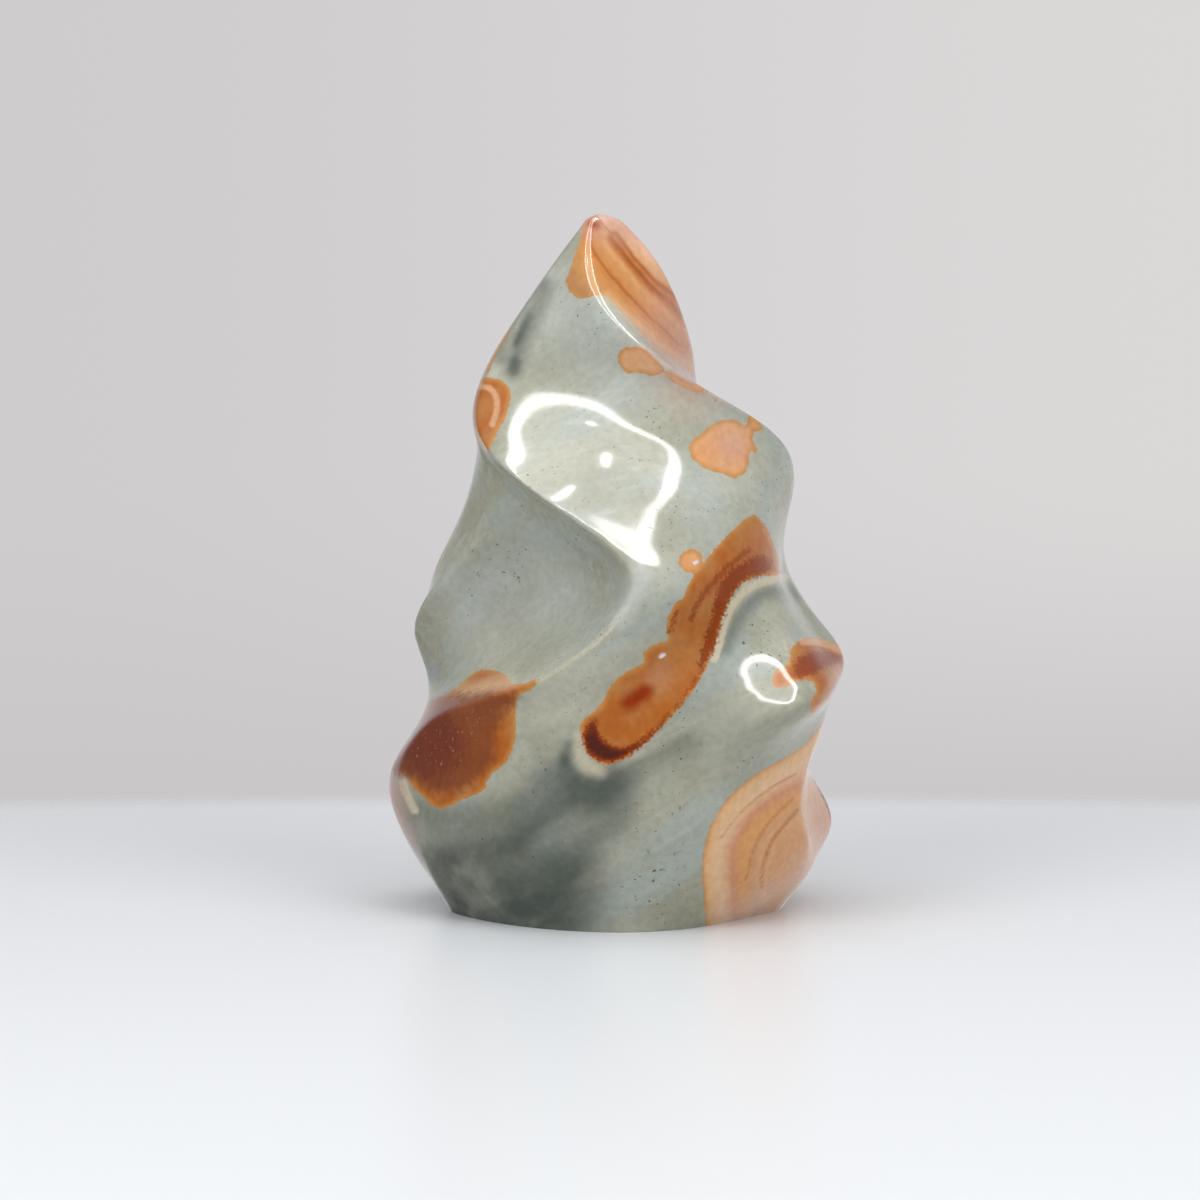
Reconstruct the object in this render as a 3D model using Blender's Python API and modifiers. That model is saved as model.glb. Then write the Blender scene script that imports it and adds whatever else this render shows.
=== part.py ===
"""A flame carved from one piece of polychrome jasper, resting on a small flat base.

The stone is one closed loft. Its sections are level rings from the base to the tip. Five ridges run down
through all of them, and the faces between two ridges are swollen or scooped by an amount that changes with
height. All tables are in millimetres. X is to the right, and the front of the stone faces -Y.
"""

import bpy
import numpy as np

MM = 0.001

# Heights of the level rings that the loft runs through
RING_HEIGHTS = (
    0.0, 1.2, 3.6, 6.6, 9.8, 13.0, 16.2, 19.4, 22.6, 25.8, 29.0, 32.0, 34.6, 37.0, 39.2, 41.4, 43.8, 46.4,
    49.2, 52.2, 55.2, 58.2, 61.2, 64.2, 67.4, 70.6, 73.8, 77.0, 80.2, 83.4, 86.6, 89.8, 93.2, 96.8, 100.6,
    104.6, 108.6, 112.4, 115.8, 118.4, 120.0,
)
TIP = (-3.6, 0.4, 120.9)
BASE_RIM = 1.5
CORNER_ROUNDING = 2.2

# Each ridge from the tip to the base: height, how far right of the middle, how far in front of the middle
LEFT_RIDGE = (
    (120.2, -4.9, 1.2), (118.5, -6.6, 2.0), (115.3, -9.2, 3.0), (109.1, -13.2, 4.0), (102.9, -17.3, 4.5),
    (98.7, -20.1, 5.0), (94.6, -22.4, 6.0), (90.4, -24.1, 7.5), (86.3, -24.9, 9.5), (82.5, -24.4, 13.2),
    (80.1, -22.9, 17.2), (78.0, -20.4, 21.6), (75.1, -16.4, 25.6), (71.1, -10.1, 30.1), (66.6, -3.5, 33.6),
    (63.4, 0.8, 36.0), (60.2, 2.4, 37.0), (57.2, 1.6, 37.0), (50.3, -3.5, 37.0), (45.6, -10.1, 35.0),
    (42.8, -13.8, 33.0), (40.7, -18.1, 31.0), (39.0, -24.8, 26.0), (36.6, -30.5, 18.0), (33.5, -33.7, 12.0),
    (29.5, -36.5, 7.0), (25.8, -38.8, 4.0), (23.4, -38.9, 5.0), (21.5, -37.7, 8.0), (17.2, -35.3, 11.0),
    (10.7, -33.7, 13.0), (5.0, -31.8, 11.0), (0.0, -29.0, 6.0),
)
RIGHT_RIDGE = (
    (120.2, -4.4, 1.6), (117.1, -5.6, 5.0), (111.1, -4.7, 9.0), (106.0, -3.5, 12.5), (101.8, -0.1, 15.5),
    (97.6, 4.9, 17.0), (92.5, 11.7, 17.0), (88.7, 18.8, 14.0), (85.6, 24.6, 10.0), (81.4, 29.4, 4.0),
    (77.9, 31.0, 1.0), (73.8, 30.8, 0.0), (69.6, 29.8, 0.0), (65.4, 28.5, 0.0), (61.2, 28.3, 0.0),
    (57.0, 29.7, 0.0), (52.9, 32.6, 0.0), (48.7, 36.4, 0.5), (44.6, 40.3, 3.0), (42.2, 39.2, 7.0),
    (38.2, 36.0, 12.0), (32.1, 34.0, 14.0), (27.8, 32.0, 16.0), (23.0, 30.9, 17.0), (18.9, 30.7, 17.0),
    (15.3, 31.9, 15.0), (12.3, 33.4, 12.0), (8.0, 32.0, 11.0), (4.0, 27.5, 10.0), (0.0, 22.5, 9.0),
)
RIGHT_BACK_RIDGE = (
    (120.2, -1.6, -0.5), (119.4, 0.7, -1.0), (115.3, 5.5, -1.5), (111.2, 8.4, -2.0), (107.0, 10.4, -2.5),
    (102.9, 12.0, -3.0), (98.7, 13.2, -4.0), (93.5, 14.2, -6.0), (89.2, 13.5, -10.0), (85.2, 15.0, -14.0),
    (81.2, 18.0, -17.0), (77.9, 21.0, -18.0), (73.2, 23.5, -18.0), (65.2, 25.5, -16.0), (59.2, 27.6, -13.0),
    (53.2, 31.0, -14.0), (47.2, 33.0, -17.0), (41.2, 33.0, -19.0), (33.2, 31.5, -19.0), (27.6, 32.4, -16.0),
    (23.4, 32.4, -13.0), (19.2, 36.4, -9.0), (14.2, 39.0, -7.0), (10.7, 37.4, -8.0), (6.4, 34.2, -9.0),
    (2.6, 29.8, -9.0), (0.0, 27.8, -9.0),
)
BACK_RIDGE = (
    (120.2, -3.0, -1.4), (112.0, -2.0, -9.0), (105.0, 0.0, -14.0), (97.0, 0.0, -19.0), (90.0, -3.0, -24.0),
    (82.0, -8.0, -28.0), (74.0, -15.0, -30.0), (66.0, -20.0, -27.0), (58.0, -20.0, -25.0), (50.0, -14.0, -29.0),
    (42.0, -5.0, -34.0), (34.0, 4.0, -37.0), (26.0, 6.0, -37.0), (18.0, 2.0, -36.0), (10.0, -2.0, -33.0),
    (0.0, -2.0, -27.0),
)
LEFT_BACK_RIDGE = (
    (120.2, -4.6, -0.6), (115.3, -9.3, -1.5), (109.1, -13.7, -2.0), (102.9, -18.0, -2.0), (94.6, -23.2, -2.0),
    (90.4, -25.0, -1.0), (86.3, -26.0, 1.0), (83.2, -25.8, 4.5), (80.1, -24.2, 8.0), (76.1, -22.6, 9.5),
    (72.7, -22.2, 10.5), (70.0, -22.4, 11.0), (66.4, -23.7, 11.0), (63.4, -25.6, 10.5), (59.3, -29.4, 8.5),
    (56.5, -32.2, 6.5), (54.0, -34.4, 4.0), (51.2, -36.2, 1.0), (48.7, -37.0, -2.0), (44.5, -36.4, -7.0),
    (38.1, -33.8, -12.0), (30.0, -34.6, -16.0), (20.0, -35.5, -19.0), (10.0, -33.0, -19.0), (0.0, -26.0, -15.0),
)

# How far each face stands out from the straight line between its two ridges: height, then the distances at
# equal steps along that line. A minus is a scoop.
FRONT_FACE = (
    (120.2, 0.1, 0.1, 0.1, 0.1), (110.0, 0.3, 0.3, 0.3, 0.3), (100.0, 0.1, 0.2, 0.3, 0.3),
    (96.0, 0.0, 0.0, 0.1, 0.3), (92.0, 0.5, 0.6, 0.5, 0.7), (88.8, 1.4, 2.0, 1.9, 2.4),
    (85.8, 4.0, 5.1, 4.9, 4.9), (82.8, 6.9, 8.9, 8.9, 7.4), (80.0, 9.0, 11.8, 12.0, 9.2),
    (77.0, 8.7, 12.3, 12.7, 9.2), (73.5, 8.2, 11.9, 12.4, 8.5), (70.0, 7.7, 10.9, 11.1, 7.2),
    (66.0, 6.6, 8.9, 8.9, 5.7), (62.0, 5.0, 7.0, 7.1, 4.7), (58.0, 5.2, 7.0, 7.0, 4.2),
    (54.0, 6.6, 8.4, 8.5, 4.9), (50.0, 7.9, 9.6, 9.6, 6.2), (47.0, 9.1, 10.6, 11.1, 7.8),
    (44.0, 9.7, 11.5, 13.2, 10.2), (41.0, 10.5, 12.8, 15.1, 13.6), (38.0, 13.6, 17.4, 18.0, 17.2),
    (34.5, 15.8, 21.3, 21.9, 19.2), (30.0, 16.2, 22.8, 23.6, 19.6), (26.0, 15.4, 22.5, 23.8, 19.6),
    (22.0, 14.1, 20.6, 22.0, 17.8), (16.0, 12.8, 18.8, 19.9, 14.8), (9.0, 12.2, 18.0, 18.8, 13.3),
    (4.0, 11.4, 17.2, 18.4, 13.6), (0.0, 12.0, 17.9, 19.2, 14.2),
)
RIGHT_FACE = (
    (120.2, 0.3, 0.3), (112.0, -0.8, 0.2), (104.0, -1.5, 0.3), (98.0, -1.5, 0.0), (93.0, -2.5, -1.5),
    (89.0, -2.5, -2.0), (85.0, -1.5, -1.5), (81.0, 0.0, 0.0), (73.0, 0.8, 0.8), (61.0, 0.5, 0.5),
    (51.0, 0.8, 0.8), (44.0, -0.5, -0.5), (38.0, 2.0, 1.5), (31.0, 2.5, 2.0), (23.0, 0.0, 0.5),
    (15.0, -2.0, -1.5), (9.0, 0.5, 0.5), (4.0, 3.0, 2.0), (0.0, 3.0, 2.0),
)
RIGHT_BACK_FACE = (
    (120.2, 0.3, 0.3), (110.0, 1.0, 1.0), (95.0, 2.0, 2.0), (85.0, 2.6, 2.6), (75.0, 0.0, 0.0),
    (65.0, -2.6, -2.6), (55.0, -1.8, -1.8), (45.0, 2.6, 2.6), (35.0, 6.2, 6.2), (25.0, 5.4, 5.4),
    (15.0, 6.2, 6.2), (0.0, 5.4, 5.4),
)
LEFT_BACK_FACE = (
    (120.2, 0.3, 0.3), (110.0, 0.8, 0.8), (100.0, 1.5, 1.5), (90.0, 3.0, 3.0), (84.0, 4.0, 4.6),
    (78.0, 5.0, 6.8), (72.0, 5.0, 7.2), (66.0, 5.0, 7.4), (60.0, 5.4, 7.6), (54.0, 5.4, 5.8),
    (48.0, 3.5, 3.0), (42.0, -1.0, -1.0), (34.0, -2.5, -2.5), (26.0, 2.0, 2.0), (18.0, 5.5, 5.5),
    (8.0, 6.0, 6.0), (0.0, 5.4, 5.4),
)
LEFT_FACE = (
    (120.2, 0.2, 0.2), (95.0, 0.5, 0.5), (84.0, 0.3, 0.3), (78.0, -0.5, -0.5), (74.0, -2.0, -1.5),
    (70.0, -3.5, -3.0), (65.0, -6.0, -5.5), (61.0, -7.5, -7.5), (57.0, -7.5, -8.5), (53.0, -6.5, -8.0),
    (49.0, -4.5, -6.0), (45.0, -2.0, -3.0), (41.0, 0.0, 0.0), (38.0, 1.0, 1.0), (34.0, 0.5, 0.5),
    (30.0, 1.0, 1.0), (26.0, 2.4, 2.2), (22.0, 4.6, 4.0), (18.0, 5.4, 4.4), (14.0, 5.0, 4.0),
    (10.0, 4.2, 3.0), (6.0, 3.5, 2.5), (0.0, 2.0, 1.5),
)

# Round swells on top of the faces: how far right, in front and up, then spread and height of the swell
SWELLS = (
    (31.5, 26.5, 41.0, 5.0, 4.8),
)

# How sharp each ridge is: height, crease
LEFT_CREASE = (
    (121.0, 0.3), (112.0, 0.5), (90.0, 0.4), (82.0, 0.4), (76.0, 0.5), (60.0, 0.5), (46.0, 0.5),
    (40.0, 0.3), (32.0, 0.2), (24.0, 0.35), (12.0, 0.4), (0.0, 0.2),
)
RIGHT_CREASE = (
    (121.0, 0.3), (115.0, 0.25), (106.0, 0.25), (98.0, 0.42), (84.0, 0.42), (76.0, 0.3), (68.0, 0.1),
    (54.0, 0.1), (47.0, 0.45),
    (42.0, 0.5), (24.0, 0.45), (12.0, 0.4), (4.0, 0.1), (0.0, 0.0),
)
RIGHT_BACK_CREASE = (
    (121.0, 0.0), (96.0, 0.0), (88.0, 0.2), (78.0, 0.4), (66.0, 0.2), (56.0, 0.2), (46.0, 0.4),
    (34.0, 0.3), (26.0, 0.35), (14.0, 0.45), (4.0, 0.1), (0.0, 0.0),
)
BACK_CREASE = ((121.0, 0.2), (110.0, 0.5), (10.0, 0.5), (0.0, 0.1))
LEFT_BACK_CREASE = (
    (121.0, 0.0), (84.0, 0.0), (78.0, 0.35), (72.0, 0.5), (50.0, 0.5), (44.0, 0.35), (36.0, 0.3),
    (24.0, 0.35), (8.0, 0.3), (0.0, 0.0),
)

# Around the stone: a ridge, its crease, the face that follows it and the number of columns inside that face
AROUND = (
    (LEFT_RIDGE, LEFT_CREASE, FRONT_FACE, 10),
    (RIGHT_RIDGE, RIGHT_CREASE, RIGHT_FACE, 3),
    (RIGHT_BACK_RIDGE, RIGHT_BACK_CREASE, RIGHT_BACK_FACE, 3),
    (BACK_RIDGE, BACK_CREASE, LEFT_BACK_FACE, 3),
    (LEFT_BACK_RIDGE, LEFT_BACK_CREASE, LEFT_FACE, 5),
)


def eased(table, heights):
    """The table's values at the given heights, with the corners between its entries rounded off."""
    rows = np.array(sorted(table))
    step = 0.25
    fine = np.arange(-15.0, 140.0, step)
    reach = np.arange(-4 * CORNER_ROUNDING, 4 * CORNER_ROUNDING + step, step)
    weights = np.exp(-0.5 * (reach / CORNER_ROUNDING) ** 2)
    weights /= weights.sum()
    columns = []
    for values in rows[:, 1:].T:
        straight = np.interp(fine, rows[:, 0], values)
        rounded = np.convolve(straight, weights, mode="same")
        columns.append(np.interp(heights, fine, rounded))
    return np.array(columns).T


def smooth_swell(distances, share):
    """The smooth curve that is 0 at both ridges and takes the given distances at equal steps between them."""
    steps = distances.shape[1] + 1
    total = np.zeros(len(distances))
    for index in range(1, steps):
        weight = 1.0
        for other in range(steps + 1):
            if other != index:
                weight *= (share * steps - other) / (index - other)
        total += weight * distances[:, index - 1]
    return total


def round_swells(places, heights):
    """How far the round swells push each point of one column outward."""
    push = np.zeros(len(heights))
    for right, front, height, spread, rise in SWELLS:
        away = (places[:, 0] - right) ** 2 + (places[:, 1] - front) ** 2 + (heights - height) ** 2
        push += rise * np.exp(-away / (2 * spread ** 2))
    return push


def columns_of_points(heights):
    """Columns of points from the base up, each with the crease of its column at every height."""
    ridges = [eased(ridge, heights) for ridge, _, _, _ in AROUND]
    creases = [eased(crease, heights)[:, 0] for _, crease, _, _ in AROUND]
    columns = []
    for index, (_, _, face, inner) in enumerate(AROUND):
        start = ridges[index]
        end = ridges[(index + 1) % len(AROUND)]
        chord = end - start
        length = np.maximum(np.linalg.norm(chord, axis=1), 1e-6)[:, None]
        outward = np.column_stack((-chord[:, 1], chord[:, 0])) / length
        stand_out = eased(face, heights)
        columns.append((start, creases[index]))
        for number in range(1, inner + 1):
            share = number / (inner + 1)
            swell = smooth_swell(stand_out, share)[:, None]
            places = start + chord * share + outward * swell
            places = places + outward * round_swells(places, heights)[:, None]
            columns.append((places, np.zeros(len(heights))))
    return columns


def cage_mesh(name):
    """The closed control mesh: one ring of faces between each two heights, a tip and a flat base."""
    heights = np.array(RING_HEIGHTS)
    columns = columns_of_points(heights)
    around = len(columns)
    points = []
    for level, height in enumerate(heights):
        for place, _ in columns:
            right, front = place[level]
            points.append((right, -front, height))
    rim_start = len(points)
    lowest = np.array([place[0] for place, _ in columns])
    middle = lowest.mean(axis=0)
    for right, front in lowest:
        inward = middle - (right, front)
        inward *= BASE_RIM / np.linalg.norm(inward)
        points.append((right + inward[0], -(front + inward[1]), 0.0))
    tip = len(points)
    points.append((TIP[0], -TIP[1], TIP[2]))

    faces = []
    for level in range(len(heights) - 1):
        low = level * around
        high = low + around
        for column in range(around):
            after = (column + 1) % around
            faces.append((low + column, low + after, high + after, high + column))
    top = (len(heights) - 1) * around
    for column in range(around):
        after = (column + 1) % around
        faces.append((top + column, top + after, tip))
        faces.append((rim_start + column, rim_start + after, after, column))
    faces.append(tuple(reversed(range(rim_start, rim_start + around))))

    mesh = bpy.data.meshes.new(name)
    mesh.from_pydata([tuple(MM * value for value in point) for point in points], [], faces)
    mesh.update()

    crease = mesh.attributes.new("crease_edge", "FLOAT", "EDGE")
    for edge in mesh.edges:
        first, second = sorted(edge.vertices)
        if second < around and second - first in (1, around - 1):
            crease.data[edge.index].value = 1.0
        elif second < rim_start and second - first == around:
            column = first % around
            level = first // around
            weights = columns[column][1]
            crease.data[edge.index].value = (weights[level] + weights[level + 1]) / 2
    return mesh


def polished_jasper():
    """A glossy grey-green stone, the colour of the ground between the markings."""
    material = bpy.data.materials.new("jasper")
    material.use_nodes = True
    shader = material.node_tree.nodes["Principled BSDF"]
    shader.inputs["Base Color"].default_value = (0.40, 0.45, 0.38, 1.0)
    shader.inputs["Roughness"].default_value = 0.12
    return material


def flame_carving():
    """The whole stone, as one object in a collection of its own."""
    mesh = cage_mesh("flame_carving")
    mesh.materials.append(polished_jasper())
    stone = bpy.data.objects.new("flame_carving", mesh)
    collection = bpy.data.collections.new("jasper_flame")
    bpy.context.scene.collection.children.link(collection)
    collection.objects.link(stone)
    smooth = stone.modifiers.new("Smooth", "SUBSURF")
    smooth.levels = 1
    smooth.render_levels = 1
    halves = stone.modifiers.new("Shortest diagonals", "TRIANGULATE")
    halves.quad_method = "SHORTEST_DIAGONAL"
    for face in mesh.polygons:
        face.use_smooth = True
    return stone


for leftover in list(bpy.data.objects):
    bpy.data.objects.remove(leftover)
flame_carving()
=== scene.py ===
# %% [markdown]
# # A flame carved from polychrome jasper
#
# The real object is one piece of stone, about 12 cm tall. A carver grinds twisting ridges into a rough
# cone, with scooped faces between them, and polishes it until it shines like glass. The grey-green ground
# and the orange, rust-red and cream markings run right through the stone, so the carving cuts them open.
#
# The solid part has few faces. This file gives the same shape a fine surface, markings and polish, and
# puts it on a plain white table under studio lamps.

import math

import bpy
import numpy as np
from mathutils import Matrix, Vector


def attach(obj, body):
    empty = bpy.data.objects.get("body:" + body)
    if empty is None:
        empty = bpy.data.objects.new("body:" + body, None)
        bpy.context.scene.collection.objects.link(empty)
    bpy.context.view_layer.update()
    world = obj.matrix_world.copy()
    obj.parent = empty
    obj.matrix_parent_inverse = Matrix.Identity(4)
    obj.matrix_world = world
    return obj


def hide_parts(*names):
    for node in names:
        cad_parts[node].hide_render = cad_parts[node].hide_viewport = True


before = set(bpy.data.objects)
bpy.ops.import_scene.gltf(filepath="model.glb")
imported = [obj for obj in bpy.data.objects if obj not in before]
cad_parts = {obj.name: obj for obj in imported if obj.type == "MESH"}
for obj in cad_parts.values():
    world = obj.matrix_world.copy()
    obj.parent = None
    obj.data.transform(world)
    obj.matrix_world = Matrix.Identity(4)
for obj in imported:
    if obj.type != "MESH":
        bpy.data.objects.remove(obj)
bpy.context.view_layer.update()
MM = 0.001

# %% [markdown]
# ## The shape: ridges, and faces between them
#
# Blender's sculpt brushes could push this shape out of a ball, but a sculpt is hard to measure and to
# change. A loft is better here: level rings run round the stone at many heights, and each passes through
# the same five ridges. A ridge is a short table of places from the tip down, and the face between two
# ridges is told how far it swells or dips at each height.
#
# X is to the right, "front" is how far a place lies before the middle, and every length is in millimetres.

# %% The level rings and the ridges
# Heights of the level rings that the loft runs through
RING_HEIGHTS = (
    0, 1.2, 3.6, 6.6, 9.8, 13, 16.2, 19.4, 22.6, 25.8, 29, 32, 34.6, 37, 39.2, 41.4, 43.8, 46.4, 49.2, 52.2,
    55.2, 58.2, 61.2, 64.2, 67.4, 70.6, 73.8, 77, 80.2, 83.4, 86.6, 89.8, 93.2, 96.8, 100.6, 104.6, 108.6,
    112.4, 115.8, 118.4, 120,
)
# Place of the tip, width of the flat base's rim, and how widely the corners of a table are rounded
TIP = (-3.6, 0.4, 120.9)
BASE_RIM = 1.5
CORNER_ROUNDING = 2.2

# Each ridge from the tip to the base: height, how far right of the middle, how far in front of the middle
LEFT_RIDGE = (
    (120.2, -4.9, 1.2), (118.5, -6.6, 2), (115.3, -9.2, 3), (109.1, -13.2, 4), (102.9, -17.3, 4.5),
    (98.7, -20.1, 5), (94.6, -22.4, 6), (90.4, -24.1, 7.5), (86.3, -24.9, 9.5), (82.5, -24.4, 12.7),
    (80.1, -22.9, 16.8), (78, -20.4, 21.8), (75.1, -16.4, 26.7), (71.1, -10.1, 29.8), (66.6, -3.5, 33.5),
    (63.4, 0.8, 35.3), (60.2, 2.4, 37), (57.2, 1.6, 37), (50.3, -3.5, 37), (45.6, -10.1, 35),
    (42.8, -13.8, 33), (40.7, -18.1, 31), (39, -24.8, 26), (36.6, -30.5, 18), (33.5, -33.7, 12),
    (29.5, -36.5, 7), (25.8, -38.8, 4), (23.4, -38.9, 5), (21.5, -37.7, 8), (17.2, -35.3, 11),
    (10.7, -33.7, 13), (5, -31.8, 11), (0, -29, 6),
)
RIGHT_RIDGE = (
    (120.2, -4.4, 1.6), (117.1, -5.6, 5), (111.1, -4.7, 9), (106, -3.5, 12.5), (101.8, -0.1, 15.5),
    (97.6, 4.9, 17), (92.5, 11.7, 17), (88.7, 18.8, 14), (85.6, 24.6, 10), (81.4, 29.4, 4), (77.9, 31, 1),
    (73.8, 30.8, 0), (69.6, 29.8, 0), (65.4, 28.5, 0), (61.2, 28.3, 0), (57, 29.7, 0), (52.9, 32.6, 0),
    (48.7, 36.4, 0.5), (44.6, 40.3, 3), (42.2, 39.2, 7), (38.2, 36, 12), (32.1, 34, 14), (27.8, 32, 16),
    (23, 30.9, 17), (18.9, 30.7, 17), (15.3, 31.9, 15), (12.3, 33.4, 12), (8, 32, 11), (4, 27.5, 10),
    (0, 22.5, 9),
)
RIGHT_BACK_RIDGE = (
    (120.2, -1.6, -0.5), (119.4, 0.7, -1), (115.3, 5.5, -1.5), (111.2, 8.4, -2), (107, 10.4, -2.5),
    (102.9, 12, -3), (98.7, 13.2, -4), (93.5, 14.2, -6), (89.2, 13.5, -10), (85.2, 15, -14),
    (81.2, 18, -17), (77.9, 21, -18), (73.2, 23.5, -18), (65.2, 25.5, -16), (59.2, 27.6, -13),
    (53.2, 31, -14), (47.2, 33, -17), (41.2, 33, -19), (33.2, 31.5, -19), (27.6, 32.4, -16),
    (23.4, 32.4, -13), (19.2, 36.4, -9), (14.2, 39, -7), (10.7, 37.4, -8), (6.4, 34.2, -9), (2.6, 29.8, -9),
    (0, 27.8, -9),
)
BACK_RIDGE = (
    (120.2, -3, -1.4), (112, -2, -9), (105, 0, -14), (97, 0, -19), (90, -3, -24), (82, -8, -28),
    (74, -15, -30), (66, -20, -27), (58, -20, -25), (50, -14, -29), (42, -5, -34), (34, 4, -37),
    (26, 6, -37), (18, 2, -36), (10, -2, -33), (0, -2, -27),
)
LEFT_BACK_RIDGE = (
    (120.2, -4.6, -0.6), (115.3, -9.3, -1.5), (109.1, -13.7, -2), (102.9, -18, -2), (94.6, -23.2, -2),
    (90.4, -25, -1), (86.3, -26, 1), (83.2, -25.8, 4.5), (80.1, -24.2, 8), (76.1, -22.6, 9.5),
    (72.7, -22.2, 10.5), (70, -22.4, 11), (66.4, -23.7, 11), (63.4, -25.6, 10.5), (59.3, -29.4, 8.5),
    (56.5, -32.2, 6.5), (54, -34.4, 4), (51.2, -36.2, 1), (48.7, -37, -2), (44.5, -36.4, -7),
    (38.1, -33.8, -12), (30, -34.6, -16), (20, -35.5, -19), (10, -33, -19), (0, -26, -15),
)
print("Rings:", len(RING_HEIGHTS))

# %% The faces between the ridges
# How far each face stands out from the straight line between its two ridges: height, then the distances at
# equal steps along that line. A minus is a scoop.
FRONT_FACE = (
    (120.2, 0.1, 0.1, 0.1, 0.1), (110, 0.3, 0.5, 0.8, 1), (100, 0.1, 0.3, 0.6, 0.8), (96, 0, 0, 0.1, 0.3),
    (92, 0.5, 0.6, 0.5, 0.7), (88.8, 2.8, 4.3, 5.5, 4), (85.8, 4.1, 6.5, 7.5, 6),
    (82.8, 6.5, 9.9, 10.9, 7.5), (80, 8.8, 11.2, 11.2, 8.5), (77, 8.4, 11.2, 10.3, 8.7),
    (73.5, 7.5, 11.4, 11, 8.4), (70, 8, 11.1, 11.5, 7.1), (66, 6.8, 9.6, 9.6, 5.8),
    (62, 5.6, 8.1, 7.7, 5.1), (58, 7.9, 6.7, 7.9, 4.3), (54, 6.1, 8.4, 8.5, 4.9), (50, 6.7, 7.8, 9.7, 6.2),
    (47, 8.2, 9.8, 12.2, 7.2), (44, 9.7, 11.5, 12.8, 9.3), (41, 10.5, 13, 15.1, 13.8),
    (38, 13.6, 18.1, 17.9, 18.9), (34.5, 15.8, 21.6, 21.7, 20.1), (30, 16.2, 22.8, 23.6, 19.6),
    (26, 15.4, 22.5, 23.8, 19.6), (22, 14.1, 20.6, 22, 17.8), (16, 12.8, 18.8, 19.9, 14.8),
    (9, 12.2, 18, 18.8, 13.3), (4, 11.4, 17.2, 18.4, 13.6), (0, 12, 17.9, 19.2, 14.2),
)
RIGHT_FACE = (
    (120.2, 0.3, 0.3), (112, 0.2, 0.4), (104, -0.3, 0.4), (98, -0.8, 0.1), (93, -2.2, -1.4), (89, -2.5, -2),
    (85, -1.5, -1.5), (81, 0, 0), (73, 0.8, 0.8), (61, 0.5, 0.5), (51, 0.8, 0.8), (44, -0.5, -0.5),
    (38, 2, 1.5), (31, 2.5, 2), (23, 0, 0.5), (15, -2, -1.5), (9, 0.5, 0.5), (4, 3, 2), (0, 3, 2),
)
RIGHT_BACK_FACE = (
    (120.2, 0.3, 0.3), (110, 1, 1), (95, 2, 2), (85, 2.6, 2.6), (75, 0, 0), (65, -2.6, -2.6),
    (55, -1.8, -1.8), (45, 2.6, 2.6), (35, 6.2, 6.2), (25, 5.4, 5.4), (15, 6.2, 6.2), (0, 5.4, 5.4),
)
LEFT_BACK_FACE = (
    (120.2, 0.3, 0.3), (110, 0.8, 0.8), (100, 1.5, 1.5), (90, 3, 3), (84, 4, 4.6), (78, 5, 6.8),
    (72, 5, 7.2), (66, 5, 7.4), (60, 5.4, 7.6), (54, 5.4, 5.8), (48, 3.5, 3), (42, -1, -1),
    (34, -2.5, -2.5), (26, 2, 2), (18, 5.5, 5.5), (8, 6, 6), (0, 5.4, 5.4),
)
LEFT_FACE = (
    (120.2, 0.2, 0.2), (95, 0.5, 0.5), (84, 0.3, 0.3), (78, -0.5, -0.5), (74, -2, -1.5), (70, -3.5, -3),
    (65, -6, -5.5), (61, -7.5, -7.5), (57, -7.5, -8.5), (53, -6.5, -8), (49, -4.5, -6), (45, -2, -3),
    (41, 0, 0), (38, 1, 1), (34, 0.5, 0.5), (30, 1, 1), (26, 2.4, 2.2), (22, 4.6, 4), (18, 5.4, 4.4),
    (14, 5, 4), (10, 4.2, 3), (6, 3.5, 2.5), (0, 2, 1.5),
)

# Round swells on top of the faces: how far right, in front and up, then spread and height of the swell
SWELLS = ((30.7, 28, 39.6, 6.2, 6.3),)
print("Levels of the front face:", len(FRONT_FACE))

# %% How sharp each ridge is
# Height, crease
LEFT_CREASE = (
    (121, 0.3), (112, 0.5), (90, 0.4), (82, 0), (76, 0.68), (62, 0.31), (56, 0.4), (46, 0.5), (40, 0.3),
    (32, 0.2), (24, 0.35), (12, 0.4), (0, 0.2),
)
RIGHT_CREASE = (
    (121, 0.2), (116, 0), (105, 0), (98, 0.15), (90, 0.3), (84, 0.4), (76, 0.3), (68, 0.1), (54, 0.1),
    (47, 0.45), (42, 0.5), (24, 0.45), (12, 0.4), (4, 0.1), (0, 0),
)
RIGHT_BACK_CREASE = (
    (121, 0), (96, 0), (88, 0.2), (78, 0.4), (66, 0.2), (56, 0.2), (46, 0.4), (34, 0.3), (26, 0.35),
    (14, 0.45), (4, 0.1), (0, 0),
)
BACK_CREASE = ((121, 0.2), (110, 0.5), (10, 0.5), (0, 0.1))
LEFT_BACK_CREASE = (
    (121, 0), (84, 0), (78, 0.35), (72, 0.5), (50, 0.5), (44, 0.35), (36, 0.3), (24, 0.35), (8, 0.3),
    (0, 0),
)

# Around the stone: a ridge, its crease, the face that follows it and the number of columns inside that face
AROUND = (
    (LEFT_RIDGE, LEFT_CREASE, FRONT_FACE, 10),
    (RIGHT_RIDGE, RIGHT_CREASE, RIGHT_FACE, 3),
    (RIGHT_BACK_RIDGE, RIGHT_BACK_CREASE, RIGHT_BACK_FACE, 3),
    (BACK_RIDGE, BACK_CREASE, LEFT_BACK_FACE, 3),
    (LEFT_BACK_RIDGE, LEFT_BACK_CREASE, LEFT_FACE, 5),
)
print("Ridges:", len(AROUND))

# %% [markdown]
# ## From tables to columns of points
#
# The entries of a table are joined by straight lines, and the corners are then rounded with a moving
# average. Between two ridges a smooth curve runs through the face's distances, so the face meets both
# ridges without a kink in its swelling.

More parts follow.
